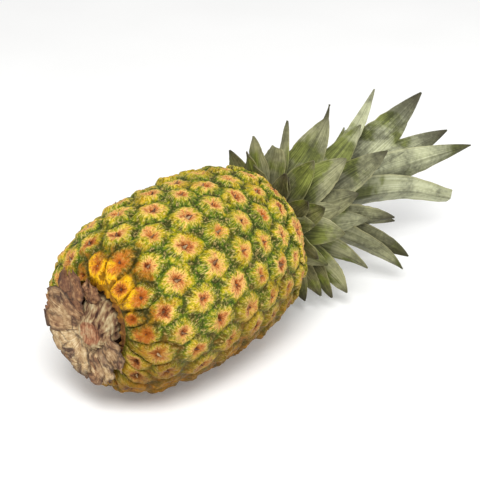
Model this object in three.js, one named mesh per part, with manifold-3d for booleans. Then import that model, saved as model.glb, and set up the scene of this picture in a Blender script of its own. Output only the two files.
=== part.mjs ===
// A whole pineapple lying on its side, as picked: the fruit with its spiral of eyes, the crown of leaves
// and the cut stalk with its dry bracts. Millimetres and degrees. The fruit lies along X, its crown
// towards +X, and the surface that it rests on is z = 0.
import * as THREE from "three";
import { mergeVertices } from "three/addons/utils/BufferGeometryUtils.js";
import Module from "manifold-3d";

const wasm = await Module();
wasm.setup();

// The fruit's side view from the cut end to the crown end: distance along the axis, and radius.
const FRUIT_PROFILE = [
  [-77, 12], [-78.6, 22], [-78, 30], [-74.5, 38.5], [-68, 45], [-56, 51], [-33, 56], [0, 58.2], [33, 56.8],
  [56, 52.8], [70, 46.2], [78.5, 37.5], [82, 28], [82.5, 12],
];
const AXIS_HEIGHT = 56.8; // less than the radius, so that the eyes it lies on are pressed flat
const REST_SPOT_ALONG = 7.5; // the pressed eye under the weight, which is the origin

// Eyes stand one after another on a spiral, so that rows of 8, 13 and 21 show.
const EYE_TURN = -137.25;
const EYE_COUNT = 160;
const ALIGNED_EYE = 47;
const ALIGNED_ANGLE = -37; // that eye's angle from the top
const FIRST_EYE_ALONG = 17.5; // from the profile's start to the first eye
// Where the skin of eyes stops, from each end of the profile. At the cut end it leaves a tall, uneven opening.
const CUT_END_EDGE = 9;
const CUT_END_TALL = 5;
const CUT_END_LEAN = 1.5;
const CUT_END_LEAN_ANGLE = 30;
const CROWN_END_EDGE = 11;
const EYE_PITCH = 1.35; // distance along the profile from one eye to the next, at the cut end's half
const FULL_EYE_RADIUS = 53; // where the fruit is slimmer than this, its eyes are smaller in proportion
const CROWN_END_SQUASH = 0.3; // share of the pitch lost towards the crown
const SQUASH_FROM = -29;
const SQUASH_TO = 11;
const ROWS = [8, 13, 21];
const ROW_TURNS = [1080, 1800, 2880]; // whole turns in each row's step
const GROOVE_DEPTH = 2.8;
const EYE_DIP = 1.1;
const BRACT_RISE = 1.4;
const BRACT_LEAN = 0.3; // how far the bract's tip leans to the crown, as a share of the eye's half length
const RIM_AT_CORNER = 0.66;
const RIM_AT_SIDE = 0.74;
const DIP_AT = 0.27;
const EYE_WANDER = 0.7;
const EYE_SWELL = 0.6;

// The sunk ends: rings of distance along the axis and radius, from the last eyes inwards.
const CUT_END_RINGS = [[-75.4, 16.8], [-71, 15.6], [-68, 15]];
const CROWN_END_RINGS = [[80, 23]];

// The cut stalk's stub, which narrows to its scar, and its dry bracts, which lie back over the cut end.
const STALK_PROFILE = [
  [-81.8, 0], [-81.4, 4.6], [-83.2, 7.4], [-82.4, 9.2], [-78, 12.4], [-74.5, 13.9], [-68.4, 14.1], [-68.4, 0],
];
const STALK_SIDES = 20;
const STALK_TALL = 1.35; // the stalk and its recess are taller than wide
const SCAR_TALL = 1.05; // the scar is less tall, and lies lower
const SCAR_DROP = 2.5;
const FURROW_DEPTH = 1.3;
const BRACT_ROOT_RADIUS = 10;
const BRACT_WAIST = 0.5; // a bract's root is this share of its width
// Each bract: where along the axis it is rooted, the angles of its root and tip round the axis, the radius that its
// tip reaches, width, and how far along the axis its tip is.
const STALK_BRACTS = [
  [-77, 8, 3, 28, 12, -80.4], [-79.5, 62, 28, 37, 16, -78.3], [-79.5, 84, 76, 38, 27, -77.6],
  [-79.5, 104, 108, 41, 27, -76], [-79.5, 136, 138, 39, 33, -77.4], [-79.5, 165, 164, 39, 30, -77.7],
  [-79.5, 190, 197, 37, 18, -79.2], [-79.5, 258, 224, 30, 13, -81],
];
const BRACT_THICK = 1.1;
const BRACT_BLUNT = 0.88;

// The crown: a short tapered shoot with a spiral of channelled leaves.
const SHOOT_PROFILE = [[80.4, 0], [80.4, 20], [84.4, 24], [92, 21], [108, 14], [128, 7], [142, 0]];
const SHOOT_SIDES = 14;
// The leaves that show their tips on the near side. Each leaf: where its tip is (along the axis, radius, angle
// round the axis), how wide it is and how far it bends out.
const SHOWN_LEAVES = [
  [89, 55, 30, 19, 9], [88, 52, 15, 17, 9], [95, 60, 13, 21, 9], [120, 64, 4, 13, 16], [160, 65, -3, 12, 30],
  [140, 66, -13, 31, 20], [215, 61, -4, 17, 32], [179, 50, -19, 28, 14], [255, 54, -22, 36, 13],
  [235, 39, -31, 32, 10], [255, 49, -58, 33, 12], [262, 59, -74, 32, 12], [165, 54, -97, 30, 14],
  [168, 72, -118, 27, 34], [162, 75, -124, 28, 34], [128, 63, -116, 21, 34], [117, 65, -133, 25, 30],
  [108, 62, -138, 22, 24], [101, 57, -139, 20, 18], [95, 55, -148, 20, 12], [178, 52, -48, 30, 12],
  [135, 47, -66, 27, 11], [112, 48, -90, 24, 10], [128, 58, -40, 29, 12], [104, 56, -30, 22, 10],
  [96, 48, -62, 21, 9],
];
const BLUNT_LEAVES = [[104, 58, 0, 27, 10, 0.88], [256, 65, -103, 31, 14, 0.88]]; // broken off short of their tips
const LEAF_TURN = 137.508;
const LEAF_COUNT = 22;
const SHOWN_SIDE = -59; // the middle of the side that the shown leaves cover, where the others stay shorter
const COLLAR_COUNT = 11;
const SHORT_LEAF_TIP = 100;
const LOWEST_TIP = 6;

const SMALLEST_DETAIL = 0.2;
const RANDOM_SEED = 86;
const radians = THREE.MathUtils.degToRad;
const random = seededRandom(RANDOM_SEED);

// A repeatable stream of numbers from 0 to 1.
function seededRandom(seed) {
  let state = seed;
  return () => {
    state = (state + 0x6d2b79f5) | 0;
    let mixed = Math.imul(state ^ (state >>> 15), 1 | state);
    mixed = (mixed + Math.imul(mixed ^ (mixed >>> 7), 61 | mixed)) ^ mixed;
    return ((mixed ^ (mixed >>> 14)) >>> 0) / 4294967296;
  };
}

// A share of [low, high] that wanders evenly to both sides of 0.
function wander(size) {
  return (random() * 2 - 1) * size;
}

const smooth = THREE.MathUtils.smoothstep;
const mix = THREE.MathUtils.lerp;

// A point at an angle from the top, round the X axis.
function onAxis(along, radius, angle) {
  return new THREE.Vector3(along, radius * Math.sin(radians(angle)), radius * Math.cos(radians(angle)));
}

// A closed solid from points and triangles.
function solidOf(points, faces) {
  const vertProperties = new Float32Array(points.flatMap((p) => [p.x, p.y, p.z]));
  return new wasm.Manifold(new wasm.Mesh({ numProp: 3, vertProperties, triVerts: new Uint32Array(faces.flat()) }));
}

function solidFromGeometry(geometry) {
  const bare = geometry.clone();
  bare.deleteAttribute("normal");
  bare.deleteAttribute("uv");
  const merged = mergeVertices(bare, 1e-4);
  const vertProperties = merged.attributes.position.array;
  return new wasm.Manifold(new wasm.Mesh({ numProp: 3, vertProperties, triVerts: new Uint32Array(merged.index.array) }));
}

function meshFrom(name, solid, material) {
  const made = solid.getMesh();
  const geometry = new THREE.BufferGeometry();
  geometry.setAttribute("position", new THREE.BufferAttribute(made.vertProperties, made.numProp));
  geometry.setIndex(new THREE.BufferAttribute(made.triVerts, 1));
  geometry.computeVertexNormals();
  const mesh = new THREE.Mesh(geometry, material);
  mesh.name = name;
  return mesh;
}

// A profile turned round the X axis.
function turned(profile, sides) {
  const outline = profile.map(([along, radius]) => new THREE.Vector2(radius, along));
  const lathe = new THREE.LatheGeometry(outline, sides);
  lathe.rotateZ(-Math.PI / 2);
  return solidFromGeometry(lathe);
}

// The fruit's skin: the profile as a curve, and the places of the eyes on it.
const meridian = new THREE.SplineCurve(FRUIT_PROFILE.map(([along, radius]) => new THREE.Vector2(along, radius)));
meridian.arcLengthDivisions = 800;
const meridianLength = meridian.getLength();

function skinPoint(distance, angle, height) {
  const share = THREE.MathUtils.clamp(distance / meridianLength, 0, 1);
  const point = meridian.getPointAt(share);
  const way = meridian.getTangentAt(share);
  return onAxis(point.x - way.y * height, point.y + way.x * height, angle);
}

function pitchAt(distance) {
  const point = meridian.getPointAt(THREE.MathUtils.clamp(distance / meridianLength, 0, 1));
  const slimness = Math.min(1, point.y / FULL_EYE_RADIUS);
  return EYE_PITCH * slimness * (1 - CROWN_END_SQUASH * smooth(point.x, SQUASH_FROM, SQUASH_TO));
}

// Every eye's distance along the profile and angle, with spare ones past both ends for the outer cells' corners.
function eyePlaces() {
  const spare = ROWS[2];
  const places = new Map();
  let distance = FIRST_EYE_ALONG;
  for (let i = 0; i < EYE_COUNT + spare; i++) {
    places.set(i, distance);
    distance += pitchAt(distance);
  }
  distance = FIRST_EYE_ALONG;
  for (let i = -1; i >= -spare; i--) {
    distance -= pitchAt(distance);
    places.set(i, distance);
  }
  const eyes = new Map();
  for (let i = -spare; i < EYE_COUNT + spare; i++) {
    const angle = ALIGNED_ANGLE + (i - ALIGNED_EYE) * EYE_TURN;
    const shift = [wander(EYE_WANDER), wander(EYE_WANDER)];
    eyes.set(i, { distance: places.get(i) + shift[0], angle: angle + shift[1] });
  }
  return eyes;
}

// The angle of an eye a row's step away, seen from eye i without the whole turns.
function rowStep(eyes, i, row) {
  const other = eyes.get(i + ROWS[row]);
  return { distance: other.distance, angle: other.angle + ROW_TURNS[row] };
}

// Where the eyes stop round the stalk, at an angle.
function cutEndEdge(angle) {
  const lean = CUT_END_LEAN * Math.cos(radians(angle - CUT_END_LEAN_ANGLE));
  return CUT_END_EDGE + CUT_END_TALL * Math.cos(radians(angle)) ** 2 + lean;
}

// The corner where eye i meets the eye one row step and 21 further on. Outer corners lie on the skin's edge.
function cellCorner(eyes, i, row) {
  const three = [eyes.get(i), rowStep(eyes, i, row), rowStep(eyes, i, 2)];
  const angle = three.reduce((sum, eye) => sum + eye.angle, 0) / 3;
  if (i < 0) return { distance: cutEndEdge(angle), angle };
  if (i + ROWS[2] >= EYE_COUNT) return { distance: meridianLength - CROWN_END_EDGE, angle };
  return { distance: three.reduce((sum, eye) => sum + eye.distance, 0) / 3, angle };
}

// The six corners round eye i, each with the whole turns that bring it back beside the eye.
function cellCorners(i) {
  const [eight, thirteen, both] = ROWS;
  return [
    [i, 0, 0],
    [i, 1, 0],
    [i - eight, 0, -ROW_TURNS[0]],
    [i - both, 1, -ROW_TURNS[2]],
    [i - both, 0, -ROW_TURNS[2]],
    [i - thirteen, 1, -ROW_TURNS[1]],
  ];
}

function fruitSolid() {
  const eyes = eyePlaces();
  const points = [];
  const faces = [];
  const cornerIndex = new Map();
  const edges = new Map();
  const add = (point) => points.push(point) - 1;
  const corner = (i, row) => {
    const key = i + ":" + row;
    if (!cornerIndex.has(key)) {
      const at = cellCorner(eyes, i, row);
      cornerIndex.set(key, add(skinPoint(at.distance, at.angle, -GROOVE_DEPTH)));
    }
    return cornerIndex.get(key);
  };
  for (let i = 0; i < EYE_COUNT; i++) {
    const eye = eyes.get(i);
    const swell = wander(EYE_SWELL);
    const rise = BRACT_RISE * smooth(eye.distance, 20, 46) * smooth(meridianLength - eye.distance, 12, 36);
    const ends = cellCorners(i).map(([at, row, turns]) => {
      const place = cellCorner(eyes, at, row);
      return { index: corner(at, row), distance: place.distance, angle: place.angle + turns };
    });
    const between = (end, share, height) =>
      add(skinPoint(mix(eye.distance, end.distance, share), mix(eye.angle, end.angle, share), height + swell));
    const rim = [];
    const dip = [];
    ends.forEach((end, k) => {
      const next = ends[(k + 1) % ends.length];
      const side = { distance: (end.distance + next.distance) / 2, angle: (end.angle + next.angle) / 2 };
      rim.push(between(end, RIM_AT_CORNER, 0), between(side, RIM_AT_SIDE, 0));
      dip.push(between(end, DIP_AT, -EYE_DIP));
    });
    const ahead = (ends[0].distance + ends[1].distance) / 2;
    const tip = add(skinPoint(mix(eye.distance, ahead, BRACT_LEAN), eye.angle, rise));
    for (let k = 0; k < ends.length; k++) {
      const [a, b] = [ends[k].index, ends[(k + 1) % ends.length].index];
      const [r0, r1, r2] = [rim[2 * k], rim[2 * k + 1], rim[(2 * k + 2) % rim.length]];
      const [d0, d1] = [dip[k], dip[(k + 1) % dip.length]];
      faces.push([a, b, r1], [a, r1, r0], [b, r2, r1], [r0, r1, d0], [r1, r2, d1], [r1, d1, d0], [d0, d1, tip]);
      edges.set(a + ">" + b, [a, b]);
    }
  }
  for (const loop of openLoops(edges)) {
    const atCrown = points[loop[0]].x > 0;
    if (atCrown) closeEnd(points, faces, loop, CROWN_END_RINGS, 1);
    else closeEnd(points, faces, loop, CUT_END_RINGS, STALK_TALL);
  }
  const whole = solidOf(points, faces);
  return whole.volume() < 0 ? solidOf(points, faces.map(([a, b, c]) => [a, c, b])) : whole;
}

// Chains the cell edges that have no partner into closed loops.
function openLoops(edges) {
  const next = new Map();
  for (const [a, b] of edges.values()) if (!edges.has(b + ">" + a)) next.set(a, b);
  const loops = [];
  while (next.size) {
    const loop = [next.keys().next().value];
    for (;;) {
      const last = loop[loop.length - 1];
      const following = next.get(last);
      next.delete(last);
      if (following === loop[0]) break;
      loop.push(following);
    }
    loops.push(loop);
  }
  return loops;
}

// Closes one end of the skin by rings of points, taller than wide by a factor, and a fan.
function closeEnd(points, faces, loop, rings, tall) {
  let outer = loop;
  for (const [along, radius] of rings) {
    const inner = outer.map((index) => {
      const angle = THREE.MathUtils.radToDeg(Math.atan2(points[index].y, points[index].z));
      const spot = onAxis(along, radius, angle);
      return points.push(spot.setZ(spot.z * tall)) - 1;
    });
    outer.forEach((index, k) => {
      const after = (k + 1) % outer.length;
      faces.push([outer[after], index, inner[k]], [outer[after], inner[k], inner[after]]);
    });
    outer = inner;
  }
  const centre = points.push(onAxis(rings[rings.length - 1][0], 0, 0)) - 1;
  outer.forEach((index, k) => faces.push([outer[(k + 1) % outer.length], index, centre]));
}

// A thin channelled blade on a curved midrib, from its root to its tip, both [along, radius, angle].
// It sets out nearer to the axis than the tip lies, and bends outwards by twice the arch.
function bladeSolid({ root, tip, width, arch, twist = 0, thick, channel, steps, blunt = 1, waist = 1 }) {
  const [start, end] = [onAxis(...root), onAxis(...tip)];
  const chord = end.clone().sub(start);
  const length = chord.length();
  const sideways = onAxis(0, -1, tip[2] + 90).projectOnPlane(chord.clone().normalize()).normalize();
  const turnedWay = (angle) => chord.clone().normalize().applyAxisAngle(sideways, radians(angle));
  const middle = new THREE.CubicBezierCurve3(
    start,
    start.clone().addScaledVector(turnedWay(-arch), length * 0.36),
    end.clone().addScaledVector(turnedWay(arch), -length * 0.36),
    end,
  );
  const points = [];
  for (let j = 0; j < steps; j++) {
    const share = blunt < 1 ? (j / (steps - 1)) * blunt * 0.97 : j / steps; // a broken end is broad
    const spot = middle.getPoint(share);
    const way = middle.getTangent(share);
    const across = sideways.clone().applyAxisAngle(way, radians(twist) * share);
    const back = new THREE.Vector3().crossVectors(across, way).normalize();
    const half = (width / 2) * bladeWidth(share) * mix(waist, 1, smooth(share, 0, 0.5));
    const [rib, edge] = [thick * mix(1.6, 0.8, share), thick * mix(1, 0.75, share)];
    for (const [across01, face] of [[-1, 1], [0, 1], [1, 1], [1, -1], [0, -1], [-1, -1]]) {
      const lift = (face * (across01 ? edge : rib)) / 2 - Math.abs(across01) * channel * half;
      points.push(spot.clone().addScaledVector(across, across01 * half).addScaledVector(back, lift));
    }
  }
  points.push(middle.getPoint(blunt));
  return ringSolid(points, 6, steps);
}

// A blade's width along its length, as a share of the widest: broad and clasping, then drawn to a point.
function bladeWidth(share) {
  return (0.8 + 0.4 * share) * (1 - share ** 2.2) ** 0.88;
}

// Joins rings of points, a flat root and a pointed tip into one solid. Both faces are split alike.
function ringSolid(points, size, rings) {
  const faces = [];
  const at = (ring, k) => ring * size + (k % size);
  for (let k = 1; k < size - 1; k++) faces.push([at(0, 0), at(0, k), at(0, k + 1)]);
  for (let j = 0; j < rings - 1; j++) {
    for (let k = 0; k < size; k++) {
      const [a, b, c, d] = [at(j, k), at(j, k + 1), at(j + 1, k + 1), at(j + 1, k)];
      if (k < size / 2) faces.push([a, c, b], [a, d, c]);
      else faces.push([a, d, b], [b, d, c]);
    }
  }
  const tip = rings * size;
  for (let k = 0; k < size; k++) faces.push([at(rings - 1, k), tip, at(rings - 1, k + 1)]);
  const solid = solidOf(points, faces);
  return solid.volume() < 0 ? solidOf(points, faces.map(([a, b, c]) => [a, c, b])) : solid;
}

// Joins solids into one and fills the small hollows that leaves shut in where they cross.
function joined(solids) {
  const whole = solids.reduce((sum, solid) => sum.add(solid)).simplify(SMALLEST_DETAIL);
  return whole.decompose().reduce((largest, body) => (body.volume() > largest.volume() ? body : largest));
}

// A leaf of the crown by its tip. The further along the tip, the higher on the shoot it is rooted.
function crownLeaf(tipAlong, tipRadius, tipAngle, width, arch, blunt = 1) {
  const rank = smooth(tipAlong, 76, 300);
  const reach = Math.min(tipRadius, tipRadius * Math.cos(radians(tipAngle)) < 0 ? lowestReach(tipAngle) : Infinity);
  return bladeSolid({
    root: [mix(85.4, 124, rank), mix(19, 3, rank), tipAngle + wander(14)],
    tip: [tipAlong, reach, tipAngle],
    width,
    arch: arch + wander(3),
    twist: wander(24),
    thick: 0.9,
    channel: mix(0.2, 0.36, rank),
    steps: tipAlong < SHORT_LEAF_TIP ? 3 : 5,
    blunt,
  });
}

// How far from the axis a leaf may reach at an angle without touching the surface.
function lowestReach(angle) {
  return (AXIS_HEIGHT - LOWEST_TIP) / Math.max(0.2, -Math.cos(radians(angle)));
}

// Leaf number i of the spiral, from the lowest and shortest to the innermost.
function spiralLeaf(i) {
  const rank = i / (LEAF_COUNT - 1);
  const along = rank < 0.35 ? mix(91, 130, rank / 0.35) : mix(130, 262, (rank - 0.35) / 0.65);
  const angle = i * LEAF_TURN - 30;
  const hidden = smooth(-Math.cos(radians(angle - SHOWN_SIDE)), 0.1, 0.8);
  const radius = mix(57, 52, rank) * (1 - 0.55 * smooth(rank, 0.75, 1)) * mix(0.74, 1, hidden) + wander(5);
  const tip = along - mix(0.1 * (along - 76), 0, hidden) + wander(6);
  return crownLeaf(tip, radius, angle + wander(8), mix(19, 27, rank) + wander(2), mix(10, 18, rank));
}

// Small leaf number i of the collar against the fruit.
function collarLeaf(i) {
  return crownLeaf(86.5 + wander(1.2), 43 + wander(4), i * LEAF_TURN + 15 + wander(6), 17 + wander(2), 8);
}

function crownSolid() {
  const leaves = SHOWN_LEAVES.map((leaf) => crownLeaf(...leaf));
  for (let i = 0; i < COLLAR_COUNT; i++) leaves.push(collarLeaf(i));
  for (const leaf of BLUNT_LEAVES) leaves.push(crownLeaf(...leaf));
  for (let i = 0; i < LEAF_COUNT; i++) leaves.push(spiralLeaf(i));
  return joined([turned(SHOOT_PROFILE, SHOOT_SIDES), ...leaves]);
}

// The stub: furrowed lengthwise, taller than wide, and drawn in and down to its scar.
function stubSolid() {
  const step = (2 * Math.PI) / STALK_SIDES;
  return turned(STALK_PROFILE, STALK_SIDES).warp((point) => {
    const radius = Math.hypot(point[1], point[2]);
    const isFurrow = Math.round(Math.atan2(point[1], point[2]) / step) % 2 !== 0;
    const drawnIn = isFurrow ? 1 - (FURROW_DEPTH * smooth(radius, 7.5, 10.5)) / radius : 1;
    const end = smooth(-point[0], 74, 82);
    point[1] *= drawnIn;
    point[2] = point[2] * drawnIn * mix(STALK_TALL, SCAR_TALL, end) - SCAR_DROP * end;
  });
}

function bractSolid([rootAlong, rootAngle, tipAngle, reach, width, tipAlong]) {
  const turn = radians(rootAngle);
  const rootRadius = (BRACT_ROOT_RADIUS * STALK_TALL) / Math.hypot(STALK_TALL * Math.sin(turn), Math.cos(turn));
  return bladeSolid({
    root: [rootAlong, rootRadius, rootAngle],
    tip: [tipAlong, reach, tipAngle],
    width,
    arch: mix(-8, -31, smooth(reach, 24, 45)),
    twist: wander(16),
    thick: BRACT_THICK,
    channel: 0.06,
    steps: 4,
    blunt: BRACT_BLUNT,
    waist: BRACT_WAIST,
  });
}

function stalkSolid() {
  return joined([stubSolid(), ...STALK_BRACTS.map((bract) => bractSolid(bract))]);
}

// What lies below the surface is taken off, which leaves the flat spots that the fruit rests on.
function pressedFlat(solid) {
  const above = new THREE.BoxGeometry(600, 400, 400);
  above.translate(0, 0, 200 - AXIS_HEIGHT);
  return solid.intersect(solidFromGeometry(above));
}

const rind = new THREE.MeshStandardMaterial({ color: 0xb9a23c, roughness: 0.6, metalness: 0 });
const leafGreen = new THREE.MeshStandardMaterial({ color: 0x77806a, roughness: 0.65, metalness: 0 });
const dryStalk = new THREE.MeshStandardMaterial({ color: 0xb09474, roughness: 0.9, metalness: 0 });

const pineapple = new THREE.Group();
pineapple.add(meshFrom("fruit", pressedFlat(fruitSolid()), rind));
pineapple.add(meshFrom("crown", crownSolid(), leafGreen));
pineapple.add(meshFrom("stalk", stalkSolid(), dryStalk));
pineapple.position.set(-REST_SPOT_ALONG, 0, AXIS_HEIGHT);

export default pineapple;
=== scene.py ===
"""A whole pineapple lying on its side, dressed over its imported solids.

The rind, the crown and the stalk are made again with fine meshes from the solids' own dimensions. Lengths
are in millimetres and angles in degrees until a mesh is made, which is in metres. The stub and the shoot are
made by operators. The rind and the blades are computed point by point, because operators can't wind a spiral
of eyes round a barrel, or curl, fray and twist a blade.
"""

from math import atan2, cos, degrees, hypot, pi, radians, sin, sqrt
from types import SimpleNamespace

import bmesh
import bpy
import numpy as np
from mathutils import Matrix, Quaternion, Vector, noise


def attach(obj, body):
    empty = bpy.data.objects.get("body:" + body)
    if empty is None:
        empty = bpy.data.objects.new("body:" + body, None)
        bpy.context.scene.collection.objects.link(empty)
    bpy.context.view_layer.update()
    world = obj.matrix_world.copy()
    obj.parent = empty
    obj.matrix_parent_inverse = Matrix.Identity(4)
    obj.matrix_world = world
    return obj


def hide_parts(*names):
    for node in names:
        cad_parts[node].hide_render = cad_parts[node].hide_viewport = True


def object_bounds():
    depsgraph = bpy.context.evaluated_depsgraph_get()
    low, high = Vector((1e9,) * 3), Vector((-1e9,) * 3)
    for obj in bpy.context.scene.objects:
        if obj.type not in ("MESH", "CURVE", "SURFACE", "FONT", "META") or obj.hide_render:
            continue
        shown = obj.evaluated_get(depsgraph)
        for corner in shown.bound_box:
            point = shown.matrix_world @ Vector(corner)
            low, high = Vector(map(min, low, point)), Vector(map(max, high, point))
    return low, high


MM = 0.001
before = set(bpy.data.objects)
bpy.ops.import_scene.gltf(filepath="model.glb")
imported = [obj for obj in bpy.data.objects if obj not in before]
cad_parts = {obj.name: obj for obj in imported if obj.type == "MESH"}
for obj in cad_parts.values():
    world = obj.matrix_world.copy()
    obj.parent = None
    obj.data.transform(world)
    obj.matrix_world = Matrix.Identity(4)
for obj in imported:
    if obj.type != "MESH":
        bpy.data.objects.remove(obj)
cad_low, cad_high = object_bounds()

# The fruit's side view from the cut end to the crown end: distance along the axis, and radius.
FRUIT_PROFILE = [
    (-77, 12), (-78.6, 22), (-78, 30), (-74.5, 38.5), (-68, 45), (-56, 51), (-33, 56),
    (0, 58.2), (33, 56.8), (56, 52.8), (70, 46.2), (78.5, 37.5), (82, 28), (82.5, 12),
]
AXIS_HEIGHT = 56.8
REST_SPOT_ALONG = 7.5

# The spiral of eyes.
EYE_TURN = -137.25
EYE_COUNT = 160
ALIGNED_EYE = 47
ALIGNED_ANGLE = -37
FIRST_EYE_ALONG = 17.5
CUT_END_EDGE = 9
CUT_END_TALL = 5
CUT_END_LEAN = 1.5
CUT_END_LEAN_ANGLE = 30
CROWN_END_EDGE = 11
EYE_PITCH = 1.35
FULL_EYE_RADIUS = 53
CROWN_END_SQUASH = 0.3
SQUASH_FROM = -29
SQUASH_TO = 11
ROWS = [8, 13, 21]
ROW_TURNS = [1080, 1800, 2880]
GROOVE_DEPTH = 1.5
# How far the whole skin is let in, so that its highest wrinkles stay within the solid.
SKIN_SINK = 1.2
RIND_ROUGHNESS = 0.45
EYE_DIP = 1.1
EYE_WANDER = 0.7
EYE_SWELL = 0.6
CUT_END_RINGS = [(-75.4, 16.8), (-71, 15.6), (-68, 15)]
CROWN_END_RINGS = [(80, 23)]

# The stalk's stub, which narrows to its scar.
STALK_PROFILE = [
    (-81.8, 0), (-81.4, 4.6), (-83.2, 7.4), (-82.4, 9.2),
    (-78, 12.4), (-74.5, 13.9), (-68.4, 14.1), (-68.4, 0),
]
STALK_TALL = 1.35
SCAR_TALL = 1.05
SCAR_DROP = 2.5
SCAR_TORN_TO = -79
# The dry bracts: where along the axis each is rooted, the angles of its root and tip, the radius that its
# tip reaches, its width, its tip's place along the axis, and how dark and stale it is.
BRACT_ROOT_RADIUS = 10
BRACT_WAIST = 0.5
STALK_BRACTS = [
    (-77, 8, 3, 28, 12, -80.4, 0.9), (-79.5, 62, 28, 37, 16, -78.3, 0.75),
    (-79.5, 84, 76, 38, 27, -77.6, 0.52), (-79.5, 104, 108, 38, 27, -76, 0.1),
    (-79.5, 136, 138, 35.5, 33, -77.4, 0.05), (-79.5, 165, 164, 36.5, 30, -77.7, 0.5),
    (-79.5, 190, 197, 37, 18, -79.2, 0.15), (-79.5, 258, 224, 30, 13, -81, 0.3),
]
BRACT_BLUNT = 0.88

# The crown. Each shown leaf: its tip's place along the axis, radius and angle, its width, and its bend.
SHOOT_PROFILE = [(80.4, 0), (80.4, 20), (84.4, 24), (92, 21), (108, 14), (128, 7), (142, 0)]
SHOWN_LEAVES = [
    (89, 55, 30, 19, 9), (88, 52, 15, 17, 9), (95, 60, 13, 21, 9), (120, 64, 4, 13, 16),
    (160, 65, -3, 12, 30), (140, 66, -13, 31, 20), (215, 61, -4, 17, 32), (179, 50, -19, 28, 14),
    (255, 54, -22, 36, 13),
    (235, 39, -31, 32, 10), (255, 49, -58, 33, 12), (262, 59, -74, 32, 12), (165, 54, -97, 30, 14),
    (168, 72, -118, 27, 34), (162, 75, -124, 28, 34), (128, 63, -116, 21, 34), (117, 65, -133, 25, 30),
    (108, 62, -138, 22, 24), (101, 57, -139, 20, 18), (95, 55, -148, 20, 12), (178, 52, -48, 30, 12),
    (135, 47, -66, 27, 11), (112, 48, -90, 24, 10), (128, 58, -40, 29, 12), (104, 56, -30, 22, 10),
    (96, 48, -62, 21, 9),
]
BLUNT_LEAVES = [(104, 58, 0, 27, 10, 0.88), (256, 65, -103, 31, 14, 0.88)]
LIMP_END = (3, -5, -8)
MIDRIB_HANDLE = 0.36
LEAF_TURN = 137.508
LEAF_COUNT = 22
SHOWN_SIDE = -59
COLLAR_COUNT = 11
LOWEST_TIP = 6
# How thick the blades of the crown and the cut end are, and the dry tips on the eyes.
BLADE_THICKNESS = 0.8
TIP_THICKNESS = 0.3
RANDOM_SEED = 86
LOOK_SEED = 7

# Marks on the faces past the last eyes, where an eye's own run from 0 to 1.
LIP_MARK = 1.5
DEPTH_MARK = 2
# Where the ripeness of those faces is read, along the profile.
LIP_DISTANCE = 18

# The flakes that a dry bract is cracked into: their size, and the size of the waves in their edges.
FLAKE_SIZE = 13.3
FLAKE_WARP_SIZE = 8.33

# How finely the meshes are made.
EYE_RINGS = [0, 0.05, 0.11, 0.19, 0.29, 0.4, 0.51, 0.61, 0.7, 0.78, 0.86, 0.92, 0.96, 1]
SIDE_STEPS = 6
# Steps across and along a blade.
LEAF_STEPS = (8, 26)
BRACT_STEPS = (20, 26)
TIP_STEPS = (4, 6)
STUB_RINGS = 60
STUB_SIDES = 144
SHOOT_SIDES = 48
LEAST_RADIUS = 0.01
# Points closer than this are joined, between eyes and at the ends of a turned piece.
EYE_SEAM = 0.02
POLE_SEAM = 0.03

# The camera of the photo, found from the outline and the eyes' centres.
IMAGE_WIDTH = 480
FOCAL_PIXELS = 1582
SENSOR_WIDTH = 36
CAMERA_AZIMUTH = -54.3
CAMERA_ELEVATION = 24.7
CAMERA_DISTANCE = 1000
CAMERA_LOOK = (62.9 - REST_SPOT_ALONG, 0, 58.1)


def seeded(seed):
    """The same repeatable stream of numbers from 0 to 1 as the solids use."""
    mask = 0xFFFFFFFF
    state = seed
    while True:
        state = (state + 0x6D2B79F5) & mask
        mixed = ((state ^ (state >> 15)) * (1 | state)) & mask
        mixed = ((mixed + (((mixed ^ (mixed >> 7)) * (61 | mixed)) & mask)) & mask) ^ mixed
        yield ((mixed ^ (mixed >> 14)) & mask) / 2**32


shape_draws = seeded(RANDOM_SEED)
look_draws = np.random.default_rng(LOOK_SEED)


def wander(size):
    return (next(shape_draws) * 2 - 1) * size


def mix(low, high, share):
    return low + (high - low) * share


def smooth(value, low, high):
    share = np.clip((value - low) / (high - low), 0, 1)
    return share * share * (3 - 2 * share)


def on_axis(along, radius, angle):
    """A point at an angle from the top, round the fruit's axis."""
    return Vector((along, radius * sin(radians(angle)), radius * cos(radians(angle))))


def angle_of(spot):
    """The angle of a place in the frame from the top, round the fruit's axis."""
    return degrees(atan2(spot.y, spot.z - AXIS_HEIGHT * MM))


def to_frame(points):
    """Points round the fruit's axis, in millimetres, as points of the frame, in metres."""
    return (np.asarray(points, float) + (-REST_SPOT_ALONG, 0, AXIS_HEIGHT)) * MM


def profile_curve(profile, samples=3000):
    """A smooth curve through a profile's points: its length so far, points and directions."""
    knots = np.array(profile, float)
    last = len(knots) - 1
    place = np.linspace(0, last, samples)
    first = np.minimum(place.astype(int), last - 1)
    share = (place - first)[:, None]
    before, start = knots[np.maximum(first - 1, 0)], knots[first]
    end, after = knots[first + 1], knots[np.minimum(first + 2, last)]
    leave, arrive = (end - before) / 2, (after - start) / 2
    points = (
        (2 * start - 2 * end + leave + arrive) * share**3
        + (-3 * start + 3 * end - 2 * leave - arrive) * share**2
        + leave * share
        + start
    )
    length = np.concatenate([[0], np.cumsum(np.linalg.norm(np.diff(points, axis=0), axis=1))])
    ways = np.gradient(points, length, axis=0)
    return length, points, ways / np.linalg.norm(ways, axis=1)[:, None]


skin_length, skin_points, skin_ways = profile_curve(FRUIT_PROFILE)
meridian_length = skin_length[-1]


def on_profile(table, distance):
    """Where the profile is, or its direction, at a distance along it."""
    return [np.interp(distance, skin_length, table[:, k]) for k in (0, 1)]


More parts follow.
